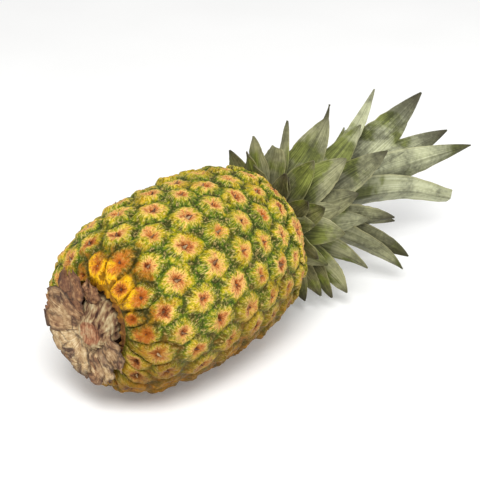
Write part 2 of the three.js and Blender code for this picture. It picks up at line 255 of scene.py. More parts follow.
def skin(distance, angle, height):
    """Points of the skin in millimetres: distance along the profile, angle from the top, height above it."""
    x, r = on_profile(skin_points, distance)
    way_x, way_r = on_profile(skin_ways, distance)
    along, radius = x - way_r * height, r + way_x * height
    turn = np.radians(angle)
    return np.stack([along, radius * np.sin(turn), radius * np.cos(turn)], axis=-1)


def pitch_at(distance):
    """How far along the profile the next eye lies."""
    x, r = on_profile(skin_points, distance)
    slimness = min(1, r / FULL_EYE_RADIUS)
    return EYE_PITCH * slimness * (1 - CROWN_END_SQUASH * smooth(x, SQUASH_FROM, SQUASH_TO))


def eye_places():
    """Every eye's distance along the profile and angle, spare ones included."""
    spare = ROWS[2]
    places = {}
    distance = FIRST_EYE_ALONG
    for i in range(EYE_COUNT + spare):
        places[i] = distance
        distance += pitch_at(distance)
    distance = FIRST_EYE_ALONG
    for i in range(-1, -spare - 1, -1):
        distance -= pitch_at(distance)
        places[i] = distance
    eyes = {}
    for i in range(-spare, EYE_COUNT + spare):
        eyes[i] = (
            places[i] + wander(EYE_WANDER),
            ALIGNED_ANGLE + (i - ALIGNED_EYE) * EYE_TURN + wander(EYE_WANDER),
        )
    return eyes


def cut_end_edge(angle):
    """Where the eyes stop round the stalk, at an angle."""
    lean = CUT_END_LEAN * cos(radians(angle - CUT_END_LEAN_ANGLE))
    return CUT_END_EDGE + CUT_END_TALL * cos(radians(angle)) ** 2 + lean


def cell_corner(eyes, i, row):
    """The corner where eye i meets the eye one row step and 21 further on."""
    steps = [(0, 0), (ROWS[row], ROW_TURNS[row]), (ROWS[2], ROW_TURNS[2])]
    angle = sum(eyes[i + step][1] + turns for step, turns in steps) / 3
    if i < 0:
        return cut_end_edge(angle), angle
    if i + ROWS[2] >= EYE_COUNT:
        return meridian_length - CROWN_END_EDGE, angle
    return sum(eyes[i + step][0] for step, _ in steps) / 3, angle


def cell_corners(eyes, i):
    """The six corners round eye i, unrolled beside it."""
    eight, thirteen, both = ROWS
    around = [
        (i, 0, 0), (i, 1, 0), (i - eight, 0, -ROW_TURNS[0]),
        (i - both, 1, -ROW_TURNS[2]), (i - both, 0, -ROW_TURNS[2]), (i - thirteen, 1, -ROW_TURNS[1]),
    ]
    corners = []
    for at, row, turns in around:
        distance, angle = cell_corner(eyes, at, row)
        corners.append((distance, angle + turns))
    return np.array(corners)


def new_object(name, data):
    made = bpy.data.objects.new(name, data)
    bpy.context.collection.objects.link(made)
    return made


def mesh_object(name, points, faces):
    """A new object at the origin from points in metres."""
    mesh = bpy.data.meshes.new(name)
    mesh.from_pydata([tuple(p) for p in points], [], faces)
    return new_object(name, mesh)


def give_layer(made, name, values):
    """A UV layer that holds two numbers for each point, the same in all the faces round it."""
    mesh = made.data
    corners = np.empty(len(mesh.loops), dtype=np.int64)
    mesh.loops.foreach_get("vertex_index", corners)
    layer = mesh.uv_layers.new(name=name)
    layer.data.foreach_set("uv", np.asarray(values, np.float32)[corners].ravel())


def only(made):
    """Makes one object the only selected one, and the active one."""
    bpy.ops.object.select_all(action="DESELECT")
    made.select_set(True)
    bpy.context.view_layer.objects.active = made


def merge_close(made, distance):
    only(made)
    bpy.ops.object.mode_set(mode="EDIT")
    bpy.ops.mesh.select_all(action="SELECT")
    bpy.ops.mesh.remove_doubles(threshold=distance)
    bpy.ops.mesh.normals_make_consistent(inside=False)
    bpy.ops.object.mode_set(mode="OBJECT")


def thicken(made, thickness):
    """Gives a thin sheet its real thickness in millimetres, evenly to both sides."""
    wall = made.modifiers.new("wall", "SOLIDIFY")
    wall.thickness = thickness * MM
    wall.offset = 0
    wall.use_rim = True
    only(made)
    bpy.ops.object.modifier_apply(modifier=wall.name)


def smooth_shaded(made, angle=180):
    only(made)
    bpy.ops.object.shade_smooth_by_angle(angle=radians(angle))


def eye_relief(share, turn, u, v, swell, rise):
    """How high the skin of one eye stands, from its centre (share 0) to the groove round it (share 1)."""
    phase = look_draws.uniform(0, 2 * pi, 4)
    folds = look_draws.integers(7, 12)
    rim = 0.3 * np.exp(-(((share - 0.55) / 0.19) ** 2))
    dip = -EYE_DIP * (1 - smooth(share, 0.04, 0.45))
    groove = -(GROOVE_DEPTH + swell) * smooth(share, 0.6, 1) ** 1.1
    bract = rise * np.clip(-np.cos(turn), 0, 1) ** 1.5
    bract = bract * smooth(share, 0.05, 0.3) * (1 - smooth(share, 0.6, 0.95))
    wrinkle = np.sin(folds * turn + phase[0] + 3 * share) + 0.6 * np.sin((2 * folds + 1) * turn + phase[1])
    wrinkles = 0.2 * wrinkle * smooth(share, 0.1, 0.35) * (1 - smooth(share, 0.85, 1))
    cleft = -0.9 * np.exp(-((u / 0.7) ** 2)) * np.exp(-((v / 2.6) ** 2))
    lumps = 0.35 * np.sin(u * 0.55 + phase[2]) * np.cos(v * 0.6 + phase[3]) * (1 - smooth(share, 0.8, 1))
    return swell + rim + dip + groove + bract + wrinkles + cleft + lumps


def roughened(points, size):
    """Moves points of the fruit, in metres, out of or into its skin by a fine uneven noise."""
    moved = np.array(points)
    for k, point in enumerate(points):
        spot = Vector(point)
        lift = noise.noise(spot * 210) * size + noise.noise(spot * 520) * size * 0.6
        out = Vector((0, point[1], point[2] - AXIS_HEIGHT * MM)).normalized()
        moved[k] += np.array(out) * lift * MM
    return moved


def turn_from(angle, middle):
    """How far an angle is from a middle one, from -180 to 180."""
    return (angle - middle + 180) % 360 - 180


def ripeness_at(distance, angle):
    """How golden the rind is: most at the top of the cut end's rim, less down one side, then green."""
    near = 1 - smooth(distance, 20, 38)
    wide = 1 - smooth(distance, 24, 62)
    top = np.exp(-((turn_from(angle, -10) / 36) ** 2))
    side = np.exp(-((turn_from(angle, -74) / 44) ** 2))
    return 0.12 + 0.72 * near * top + 0.3 * wide * top + 0.34 * wide * side


def eye_grid(corners, distance, angle, radius):
    """Where an eye's points lie beside its centre, in rings that go from round to its outline."""
    shares = np.arange(SIDE_STEPS)[:, None] / SIDE_STEPS
    edge = np.concatenate([corners[k] + (corners[(k + 1) % 6] - corners[k]) * shares for k in range(6)])
    edge_u = edge[:, 0] - distance
    edge_v = np.radians(edge[:, 1] - angle) * radius
    reach = np.hypot(edge_u, edge_v)
    rings = np.array(EYE_RINGS)[:, None]
    spread = mix(reach.mean(), reach, rings**1.5) * rings / reach
    turn = np.arctan2(edge_v, edge_u)[None, :] + 0 * rings
    return rings + 0 * spread, turn, edge_u * spread, edge_v * spread


def ringed(*grids):
    """Grids of numbers as one list: the points of an eye's rings, then its centre."""
    values = np.stack(np.broadcast_arrays(*grids), axis=-1)
    return [*values[1:].reshape(-1, len(grids)), values[0, 0]]


def eye_faces(first, count):
    """The faces of an eye whose points start at a number, with so many to a ring and its centre last."""
    ring_count = len(EYE_RINGS) - 1
    faces = []
    for k in range(count):
        after = (k + 1) % count
        faces.append((first + ring_count * count, first + k, first + after))
        for low in range(first, first + (ring_count - 1) * count, count):
            high = low + count
            faces.append((low + k, high + k, high + after, low + after))
    return faces


def make_rind():
    """The fruit's skin, eye by eye, with both ends closed. It returns the eyes' centres too."""
    eyes = eye_places()
    points, faces, centres = [], [], []
    layers = {"eye": [], "rim": [], "tint": []}
    for i in range(EYE_COUNT):
        distance, angle = eyes[i]
        swell = wander(EYE_SWELL)
        radius = float(on_profile(skin_points, distance)[1])
        share, turn, u, v = eye_grid(cell_corners(eyes, i), distance, angle, radius)
        settled = float(smooth(distance, 20, 46) * smooth(meridian_length - distance, 12, 36))
        height = eye_relief(share, turn, u, v, swell, 0.4 + 0.9 * settled) - SKIN_SINK
        angles = angle + np.degrees(v / radius)
        here = skin(distance + u, angles, height)
        faces.extend(eye_faces(len(points), share.shape[1]))
        points.extend(ringed(*np.moveaxis(here, -1, 0)))
        layers["eye"].extend(ringed(u, v))
        layers["rim"].extend(ringed(share, height))
        layers["tint"].extend(ringed(look_draws.uniform(), ripeness_at(distance + u, angles)))
        centres.append((distance, angle, radius, float(height[0, 0]), settled))
    places = roughened(to_frame(points), RIND_ROUGHNESS)
    places[:, 2] = np.maximum(places[:, 2], 0)
    rind = mesh_object("rind", places, faces)
    for name, values in layers.items():
        give_layer(rind, name, values)
    merge_close(rind, EYE_SEAM * MM)
    close_ends(rind)
    smooth_shaded(rind, 60)
    return rind, centres


def close_ends(rind):
    """Closes the rind's two open edges by wrinkled rings and a fan, as the recesses for stalk and crown."""
    shape = bmesh.new()
    shape.from_mesh(rind.data)
    layers = [shape.loops.layers.uv[name] for name in ("eye", "rim", "tint")]
    open_points = {point for edge in shape.edges if edge.is_boundary for point in edge.verts}
    for rings, tall, at_crown in ((CUT_END_RINGS, STALK_TALL, False), (CROWN_END_RINGS, 1, True)):
        loop = [p for p in open_points if (p.co.x > 0) == at_crown]
        loop.sort(key=lambda p: angle_of(p.co))
        mark = DEPTH_MARK if at_crown else LIP_MARK
        for ring, (along, radius) in enumerate(rings):
            inner = []
            for point in loop:
                angle = angle_of(point.co)
                turn = radians(angle)
                crease = 0.8 * sin(turn * 17 + ring) + 0.5 * sin(turn * 41)
                spot = on_axis(along + 0.4 * crease, radius + 0.5 * crease, angle)
                spot.z *= tall
                inner.append(shape.verts.new(to_frame([spot])[0]))
            for k, point in enumerate(loop):
                after = (k + 1) % len(loop)
                face = shape.faces.new((point, loop[after], inner[after], inner[k]))
                mark_end(face, layers, mark, angle_of(point.co))
            loop = inner
            mark = DEPTH_MARK
        middle = shape.verts.new(to_frame([on_axis(rings[-1][0], 0, 0)])[0])
        for k, point in enumerate(loop):
            mark_end(shape.faces.new((point, loop[(k + 1) % len(loop)], middle)), layers, mark, 180)
    bmesh.ops.recalc_face_normals(shape, faces=shape.faces)
    shape.to_mesh(rind.data)
    shape.free()


def mark_end(face, layers, mark, angle):
    """Marks a face past the eyes as part of the recess's lip or depth, and gives it a ripeness."""
    for corner in face.loops:
        corner[layers[0]].uv = (0, 0)
        corner[layers[1]].uv = (mark, 0)
        corner[layers[2]].uv = (0.5, ripeness_at(LIP_DISTANCE, angle))


def noise_at(*place):
    return noise.noise(Vector(place))


def blade_width(share):
    """A leaf's width at a share of its length, as a share of its greatest width."""
    return (0.8 + 0.4 * share) * (1 - share**2.2) ** 0.88


def midrib(root, tip, arch):
    """A blade's midrib as the four points of a curve, and the sideways direction at its root."""
    start, end = on_axis(*root), on_axis(*tip)
    chord = end - start
    ahead = chord.normalized()
    side = on_axis(0, -1, tip[2] + 90)
    side = (side - side.project(ahead)).normalized()
    handle = chord.length * MIDRIB_HANDLE
    first = start + (Quaternion(side, radians(-arch)) @ ahead) * handle
    second = end - (Quaternion(side, radians(arch)) @ ahead) * handle
    return (start, first, second, end), side


def along_midrib(curve, side, share, twist):
    """The place on a midrib at a share of its length, and the three directions there."""
    start, first, second, end = curve
    rest = 1 - share
    spot = start * rest**3 + first * 3 * rest**2 * share + second * 3 * rest * share**2 + end * share**3
    way = (first - start) * rest**2 + (second - first) * 2 * rest * share + (end - second) * share**2
    way.normalize()
    across = Quaternion(way, radians(twist * share)) @ side
    return spot, way, across, across.cross(way).normalized()


def leaf_sheet(leaf):
    """A channelled leaf's points, row by row, and where each lies across and along it."""
    curve, side = midrib(leaf.root, leaf.tip, leaf.arch)
    length = (curve[3] - curve[0]).length
    phase = look_draws.uniform(0, 2 * pi, 2)
    curl = look_draws.uniform(-1, 1) * 0.02
    across_steps, along_steps = LEAF_STEPS
    rows, marks = [], []
    for j in range(along_steps + 1):
        share = j / along_steps
        share = min(share, 0.994) if leaf.blunt == 1 else share * leaf.blunt * 0.97
        spot, _, across, back = along_midrib(curve, side, share, leaf.twist)
        half = leaf.width / 2 * blade_width(share)
        droop = length * curl * float(smooth(share, 0.55, 1))
        if leaf.blunt < 1 and leaf.rank > 0.5:
            spot = spot + Vector(LIMP_END) * float(smooth(share, 0.55, leaf.blunt)) ** 2
        for k in range(across_steps + 1):
            place = k / across_steps * 2 - 1
            fold = (sqrt(place * place + 0.01) - 0.1) * leaf.channel * half * 1.15
            wave = 0.7 * place * place * sin(share * 13 + phase[0] + (place > 0) * phase[1])
            ripple = 0.16 * cos(place * 9) * (1 - share)
            nick = 1 + 0.07 * abs(place) * noise_at(share * 24, phase[0], (place > 0) * 5)
            lift = wave + ripple + droop - fold
            rows.append(spot + across * (place * half * nick) + back * lift)
            marks.append((place, share))
    return rows, marks


def bract_sheet(root, tip, width, arch, twist):
    """A dry bract's points, as a cupped, crumpled plate with a torn end, and where each lies on it."""
    curve, side = midrib(root, tip, arch)
    torn = look_draws.uniform(0, 50)
    cup = look_draws.uniform(-0.25, 0.12)
    across_steps, along_steps = BRACT_STEPS
    rows, marks = [], []
    for j in range(along_steps + 1):
        share = j / along_steps * BRACT_BLUNT
        spot, way, across, back = along_midrib(curve, side, share, twist)
        rounded = 1 - 0.55 * float(smooth(share, 0.6, 0.9)) ** 1.5
        half = width / 2 * mix(BRACT_WAIST, 1.1, float(smooth(share, 0, 0.5))) * rounded
        for k in range(across_steps + 1):
            place = k / across_steps * 2 - 1
            crumple = noise_at(place * 1.6, share * 4, torn) * 1.1
            crease = noise_at(place * 5, share * 5, torn + 9) * 0.9
            ragged = noise_at(place * 3.4, torn, 0) * 7
            ragged += noise_at(place * 12, torn, 5) * 3
            slip = ragged * float(smooth(share, 0.5, 0.88))
            notch = noise_at(share * 5, torn, place) * 2.4
            notch += noise_at(share * 17, torn, place * 2) * 1.3
            lift = (crumple + crease) * float(smooth(share, 0, 0.3)) - cup * place * place * half
            rows.append(spot + across * (place * half + notch * place) + back * lift + way * slip)
            marks.append((place, share))
    return rows, marks


def blade_piece(name, blades, steps, thickness, smooth_angle, held):
    """One piece of blades, each given as its rows of points, their marks and the numbers of its age."""
    across_steps, along_steps = steps
    wide = across_steps + 1
    points, faces, leaf_layer, age_layer = [], [], [], []
    for rows, marks, age in blades:
        for row_start in range(len(points), len(points) + along_steps * wide, wide):
            for k in range(row_start, row_start + across_steps):
                faces.append((k, k + 1, k + wide + 1, k + wide))
        points.extend(rows)
        leaf_layer.extend(marks)
        age_layer.extend([age] * len(rows))
    piece = mesh_object(name, held(to_frame(points)), faces)
    give_layer(piece, "leaf", leaf_layer)
    give_layer(piece, "age", age_layer)
    thicken(piece, thickness)
    smooth_shaded(piece, smooth_angle)
    return piece


def held_at_cut_end(places):
    """Flattens the cut end's blades smoothly where they would leave the solids' overall box."""
    x, lowest, bend = places[:, 0], float(cad_low[0]) + 0.5 * MM, 2.5 * MM
    places[:, 0] = np.where(x < lowest + bend, lowest + bend * np.exp((x - lowest - bend) / bend), x)
    return places


def held_off_floor(places):
    places[:, 2] = np.maximum(places[:, 2], TIP_THICKNESS * MM)
    return places


def crown_leaf(tip_along, tip_radius, tip_angle, width, arch, blunt=1.0):
    """One leaf's shape from the place of its tip, drawn as the solid's leaf is."""
    rank = float(smooth(tip_along, 76, 300))
    reach = tip_radius
    downward = -cos(radians(tip_angle))
    if downward > 0:
        reach = min(tip_radius, (AXIS_HEIGHT - LOWEST_TIP) / max(0.2, downward))
    return SimpleNamespace(
        root=(mix(85.4, 124, rank), mix(19, 3, rank), tip_angle + wander(14)),
        tip=(tip_along, reach, tip_angle),
        width=width, arch=arch + wander(3), twist=wander(24),
        channel=mix(0.28, 0.44, rank), blunt=blunt, rank=rank,
    )


def crown_leaves():
    """Every leaf: those that the photo shows, a collar of short ones, and a spiral of hidden ones."""
    leaves = [crown_leaf(*leaf) for leaf in SHOWN_LEAVES]
    for i in range(COLLAR_COUNT):
        spot = (86.5 + wander(1.2), 43 + wander(4), i * LEAF_TURN + 15 + wander(6), 17 + wander(2), 8)
        leaves.append(crown_leaf(*spot))
    leaves.extend(crown_leaf(*leaf) for leaf in BLUNT_LEAVES)
    for i in range(LEAF_COUNT):
        rank = i / (LEAF_COUNT - 1)
        along = mix(91, 130, rank / 0.35) if rank < 0.35 else mix(130, 262, (rank - 0.35) / 0.65)
        angle = i * LEAF_TURN - 30
        hidden = float(smooth(-cos(radians(angle - SHOWN_SIDE)), 0.1, 0.8))
        slimmed = 1 - 0.55 * float(smooth(rank, 0.75, 1))
        radius = mix(57, 52, rank) * slimmed * mix(0.74, 1, hidden) + wander(5)
        tip = along - mix(0.1 * (along - 76), 0, hidden) + wander(6)
        spot = (tip, radius, angle + wander(8), mix(19, 27, rank) + wander(2), mix(10, 18, rank))
        leaves.append(crown_leaf(*spot))
    return leaves


def make_crown():
    """All the crown's leaves as one thin sheet each, thickened together."""
    blades = []
    for leaf in crown_leaves():
        rows, marks = leaf_sheet(leaf)
        blades.append((rows, marks, (look_draws.uniform(), leaf.rank)))
    return blade_piece("crown_leaves", blades, LEAF_STEPS, BLADE_THICKNESS, 50, np.asarray)


def turned(name, profile, sides):
    """A ring round the fruit's axis, extruded along it and resized at each point of the profile."""
    bpy.ops.object.select_all(action="DESELECT")
    along, radius = profile[0][0], max(profile[0][1], LEAST_RADIUS)
    bpy.ops.mesh.primitive_circle_add(
        vertices=sides, radius=radius * MM, rotation=(0, pi / 2, 0),
        location=((along - REST_SPOT_ALONG) * MM, 0, AXIS_HEIGHT * MM),
    )
    made = bpy.context.active_object
    made.name = name
    bpy.ops.object.transform_apply(location=True, rotation=True, scale=True)
    bpy.ops.object.mode_set(mode="EDIT")
    bpy.ops.mesh.select_all(action="SELECT")
    for next_along, next_radius in profile[1:]:
        next_radius = max(next_radius, LEAST_RADIUS)
        step = (next_along - along) * MM
        growth = next_radius / radius
        bpy.ops.mesh.extrude_region_move(TRANSFORM_OT_translate={"value": (step, 0, 0)})
        bpy.ops.transform.resize(value=(1, growth, growth), center_override=(0, 0, AXIS_HEIGHT * MM))
        along, radius = next_along, next_radius
    bpy.ops.object.mode_set(mode="OBJECT")
    merge_close(made, POLE_SEAM * MM)
    return made


def make_shoot():
    """The short shoot that the crown's leaves grow from, coloured like the root of a leaf, with that root's
    painted shade.
    """
    shoot = turned("crown_shoot", SHOOT_PROFILE, SHOOT_SIDES)
    for name in ("leaf", "age"):
        give_layer(shoot, name, np.zeros((len(shoot.data.vertices), 2)))
    smooth_shaded(shoot, 40)
    return shoot


def finely(profile, count):
    """A profile with its points spaced evenly along it."""
    knots = np.array(profile, float)
    length = np.concatenate([[0], np.cumsum(np.linalg.norm(np.diff(knots, axis=0), axis=1))])
    places = np.linspace(0, length[-1], count)
    return list(zip(np.interp(places, length, knots[:, 0]), np.interp(places, length, knots[:, 1])))


def make_stalk():
    """The cut stalk's stub: taller than wide, with ridges that run up from its sunken, ragged scar."""
    stalk = turned("stalk_stub", finely(STALK_PROFILE, STUB_RINGS), STUB_SIDES)
    middle = AXIS_HEIGHT * MM
    marks = []
    for point in stalk.data.vertices:
        spot = point.co.copy()
        along = spot.x / MM + REST_SPOT_ALONG
        out = Vector((0, spot.y, spot.z - middle))
        angle = radians(angle_of(spot))
        side = float(smooth(out.length / MM, 6.5, 10.5))
        bend = 1.6 * noise.noise(spot * 90)
        ridge = 0.6 * sin(angle * 10 + 1 + bend) + 0.45 * sin(angle * 23 + bend)
        ridge += 0.6 * noise.noise(spot * 200)
        point.co -= out.normalized() * max(0, 0.8 - 0.9 * ridge) * side * MM
        torn = noise.noise(spot * 230) + 0.6 * noise.noise(spot * 600)
        point.co.x += torn * MM * (1 if along < SCAR_TORN_TO else 0.3)
        point.co.x = max(point.co.x, float(cad_low[0]) + 0.1 * MM)
        end = float(smooth(-along, 74, 82))
        point.co.z = middle + (point.co.z - middle) * mix(STALK_TALL, SCAR_TALL, end) - SCAR_DROP * end * MM
        marks.append((ridge, side))
    give_layer(stalk, "furrow", marks)
    smooth_shaded(stalk, 50)
    return stalk


def make_stalk_bracts():
    """The dry bracts that lie back over the cut end."""
    blades = []
    for root_along, root_angle, tip_angle, reach, width, tip_along, stale in STALK_BRACTS:
        turn = radians(root_angle)
        flatness = hypot(sin(turn), cos(turn) / STALK_TALL)
        root_radius = BRACT_ROOT_RADIUS / flatness
        arch = mix(-8, -31, float(smooth(reach, 24, 45)))
        root, tip = (root_along, root_radius, root_angle), (tip_along, reach, tip_angle)
        rows, marks = bract_sheet(root, tip, width, arch, wander(16))
        blades.append((rows, marks, (stale, look_draws.uniform())))
    return blade_piece("stalk_bracts", blades, BRACT_STEPS, BLADE_THICKNESS, 50, held_at_cut_end)


def make_eye_tips(centres):
    """The dry tip of each eye's bract, which lies over the eye's cleft and points to the crown."""
    across_steps, along_steps = TIP_STEPS
    blades = []
    for distance, angle, radius, height, settled in centres:
        length = look_draws.uniform(2.2, 5.2) * (0.5 + 0.5 * settled)
        width = look_draws.uniform(1.8, 3.0)
        lift = look_draws.uniform(0.15, 0.6)
        lean = look_draws.normal(0, 0.25)
        tone = look_draws.uniform()
        rows, marks = [], []
        for j in range(along_steps + 1):
            share = min(j / along_steps, 0.96)
            ahead = share * length
            half = width / 2 * (1 - share**1.6)
            for k in range(across_steps + 1):
                place = k / across_steps * 2 - 1
                u = -1.6 + ahead * cos(lift) - 0.4 * place * place
                v = place * half + lean * ahead
                up = height + 0.5 + ahead * sin(lift) + 0.5 * share**2 - 0.5 * abs(place) * half
                rows.append(skin(distance + u, angle + degrees(v / radius), up))
                marks.append((place, share))
        blades.append((rows, marks, (tone, settled)))
    return blade_piece("eye_bract_tips", blades, TIP_STEPS, TIP_THICKNESS, 60, held_off_floor)


def linear(hex_colour):
    """An sRGB hex colour as linear red, green, blue and 1."""
    parts = [int(hex_colour[k:k + 2], 16) / 255 for k in (1, 3, 5)]
    return tuple(c / 12.92 if c <= 0.04045 else ((c + 0.055) / 1.055) ** 2.4 for c in parts) + (1.0,)


def every(size):
    """The scale of a pattern whose parts are a size in millimetres, in a piece measured in metres."""
    return 1 / (size * MM)


def new_material(name):
    """An empty material: its tree, and its Principled shader."""
    made = bpy.data.materials.new(name)
    made.use_nodes = True
    made.node_tree.nodes.clear()
    shader = add(made.node_tree, "ShaderNodeBsdfPrincipled")
    add(made.node_tree, "ShaderNodeOutputMaterial", {"Surface": shader.outputs[0]})
    return made, made.node_tree, shader


def add(tree, kind, inputs=None, ramp=None, **settings):
    """Adds a node, sets it up, and sets or links its inputs. A ramp is a list of places and hex colours."""
    made = tree.nodes.new(kind)
    for name, value in settings.items():
        setattr(made, name, value)
    for key, value in (inputs or {}).items():
        if isinstance(value, bpy.types.NodeSocket):
            tree.links.new(value, made.inputs[key])
        else:
            made.inputs[key].default_value = value
    if ramp:
        stops = made.color_ramp.elements
        while len(stops) < len(ramp):
            stops.new(0.5)
        for stop, (place, colour) in zip(stops, ramp):
            stop.position = place
            stop.color = linear(colour)
    return made


def rind_material():
    """Waxy pineapple rind. Each eye runs from a brown cleft over peach and cream to a vivid green groove.

    Fine streaks radiate in each eye. By the cut end the skin is golden, and low on the fruit it is painted a
    darker tan as shade.
    """
    made, tree, shader = new_material("waxy_rind")
    eye = add(tree, "ShaderNodeUVMap", uv_map="eye").outputs[0]
    rim = add(tree, "ShaderNodeSeparateXYZ", {0: add(tree, "ShaderNodeUVMap", uv_map="rim").outputs[0]})
    tint = add(tree, "ShaderNodeSeparateXYZ", {0: add(tree, "ShaderNodeUVMap", uv_map="tint").outputs[0]})
    place = add(tree, "ShaderNodeTexCoord").outputs["Object"]
    spot = add(tree, "ShaderNodeSeparateXYZ", {0: place})
    share, own, ripe = rim.outputs[0], tint.outputs[0], tint.outputs[1]

    # Streaks run out from each eye's centre: the noise is read by direction, and only a little by distance.
    outward = add(tree, "ShaderNodeVectorMath", {0: eye}, operation="NORMALIZE").outputs[0]
    own_far = add(tree, "ShaderNodeMath", {0: own, 1: 40.0}, operation="MULTIPLY").outputs[0]
    depth = add(tree, "ShaderNodeMath", {0: share, 1: 0.5, 2: own_far}, operation="MULTIPLY_ADD").outputs[0]
    offset = add(tree, "ShaderNodeCombineXYZ", {2: depth}).outputs[0]
    ray = add(tree, "ShaderNodeVectorMath", {0: outward, 1: offset}, operation="ADD").outputs[0]
    streaks = add(tree, "ShaderNodeTexNoise", {"Vector": ray, "Scale": 6.0, "Detail": 4.0}).outputs[0]
    fine_streaks = add(tree, "ShaderNodeTexNoise", {"Vector": ray, "Scale": 17.0, "Detail": 2.0}).outputs[0]
    patches = add(tree, "ShaderNodeTexNoise", {
        "Vector": place, "Scale": every(4.76), "Detail": 4.0,
    }).outputs[0]
    specks = add(tree, "ShaderNodeTexNoise", {
        "Vector": place, "Scale": every(1.54), "Detail": 3.0,
    }).outputs[0]
    broad = add(tree, "ShaderNodeTexNoise", {
        "Vector": place, "Scale": every(29.4), "Detail": 3.0,
    }).outputs[0]

    drift = add(tree, "ShaderNodeMapRange", {0: streaks, 1: 0.32, 2: 0.68, 3: -0.15, 4: 0.15}).outputs[0]
    jitter = add(tree, "ShaderNodeMapRange", {0: patches, 1: 0.3, 2: 0.7, 3: -0.2, 4: 0.2}).outputs[0]
    own_size = add(tree, "ShaderNodeMapRange", {0: own, 1: 0.0, 2: 1.0, 3: -0.06, 4: 0.1}).outputs[0]
    moved = add(tree, "ShaderNodeMath", {0: share, 1: drift}, operation="ADD").outputs[0]
    moved = add(tree, "ShaderNodeMath", {0: moved, 1: jitter}, operation="ADD").outputs[0]
    moved = add(tree, "ShaderNodeMath", {0: moved, 1: own_size}, operation="ADD").outputs[0]
    green = add(tree, "ShaderNodeValToRGB", {0: moved}, ramp=[
        (0.0, "#561a06"), (0.1, "#984010"), (0.21, "#cc7634"), (0.33, "#e0a25a"), (0.46, "#e8bc60"),
        (0.54, "#c4ae2c"), (0.65, "#8c9004"), (0.8, "#527000"), (1.0, "#2a4600"),
    ]).outputs[0]
    yellow = add(tree, "ShaderNodeValToRGB", {0: moved}, ramp=[
        (0.0, "#561a06"), (0.1, "#984010"), (0.21, "#cc783a"), (0.35, "#e0a65c"), (0.48, "#e0bc4c"),
        (0.6, "#d2b612"), (0.75, "#b8a600"), (0.88, "#888600"), (1.0, "#546000"),
    ]).outputs[0]
    tawny = add(tree, "ShaderNodeValToRGB", {0: moved}, ramp=[
        (0.0, "#4c1400"), (0.1, "#7e2e04"), (0.24, "#aa5410"), (0.4, "#b66c1c"), (0.54, "#a86a04"),
        (0.68, "#885c00"), (0.84, "#604e00"), (1.0, "#302e00"),
    ]).outputs[0]
    golden = add(tree, "ShaderNodeValToRGB", {0: moved}, ramp=[
        (0.0, "#541a04"), (0.1, "#94420e"), (0.26, "#c8701c"), (0.42, "#de961a"), (0.56, "#ecac04"),
        (0.7, "#f8c400"), (0.84, "#f0b400"), (0.93, "#cc9000"), (1.0, "#986a00"),
    ]).outputs[0]
    blotches = add(tree, "ShaderNodeTexNoise", {
        "Vector": place, "Scale": every(13.3), "Detail": 3.0,
    }).outputs[0]
    yellowing = add(tree, "ShaderNodeMapRange", {0: blotches, 1: 0.47, 2: 0.6, 3: 0.0, 4: 0.95}).outputs[0]
    colour = add(tree, "ShaderNodeMix", {0: yellowing, 6: green, 7: yellow}, data_type="RGBA").outputs[2]
    ripe_noise = add(tree, "ShaderNodeMapRange", {
        0: blotches, 1: 0.35, 2: 0.65, 3: -0.25, 4: 0.25,
    }).outputs[0]
    ripeness = add(tree, "ShaderNodeMath", {
        0: ripe, 1: ripe_noise,
    }, operation="ADD", use_clamp=True).outputs[0]
    part_ripe = add(tree, "ShaderNodeMapRange", {0: ripeness, 1: 0.26, 2: 0.52, 3: 0.0, 4: 1.0}).outputs[0]
    colour = add(tree, "ShaderNodeMix", {0: part_ripe, 6: colour, 7: tawny}, data_type="RGBA").outputs[2]
    full_ripe = add(tree, "ShaderNodeMapRange", {0: ripeness, 1: 0.62, 2: 0.86, 3: 0.0, 4: 1.0}).outputs[0]
    colour = add(tree, "ShaderNodeMix", {0: full_ripe, 6: colour, 7: golden}, data_type="RGBA").outputs[2]

    # Some eyes are orange, and the grooves hold nearly black green blotches.
    some = add(tree, "ShaderNodeMapRange", {0: own, 1: 0.62, 2: 0.9, 3: 0.0, 4: 0.6}).outputs[0]
    inside = add(tree, "ShaderNodeMapRange", {0: moved, 1: 0.6, 2: 0.35, 3: 0.0, 4: 1.0}).outputs[0]
    orange_share = add(tree, "ShaderNodeMath", {0: some, 1: inside}, operation="MULTIPLY").outputs[0]
    orange = linear("#c86a1a")
    colour = add(tree, "ShaderNodeMix", {
        0: orange_share, 6: colour, 7: orange,
    }, data_type="RGBA").outputs[2]
    groove = add(tree, "ShaderNodeMapRange", {0: share, 1: 0.62, 2: 0.95, 3: 0.0, 4: 0.85}).outputs[0]
    gloomy = add(tree, "ShaderNodeMapRange", {0: patches, 1: 0.5, 2: 0.62, 3: 0.0, 4: 1.0}).outputs[0]
    gloom_share = add(tree, "ShaderNodeMath", {0: groove, 1: gloomy}, operation="MULTIPLY").outputs[0]
    unripe = add(tree, "ShaderNodeMapRange", {0: part_ripe, 1: 0.0, 2: 1.0, 3: 1.0, 4: 0.3}).outputs[0]
    gloom_share = add(tree, "ShaderNodeMath", {0: gloom_share, 1: unripe}, operation="MULTIPLY").outputs[0]
    gloom = linear("#2e3204")
    colour = add(tree, "ShaderNodeMix", {0: gloom_share, 6: colour, 7: gloom}, data_type="RGBA").outputs[2]

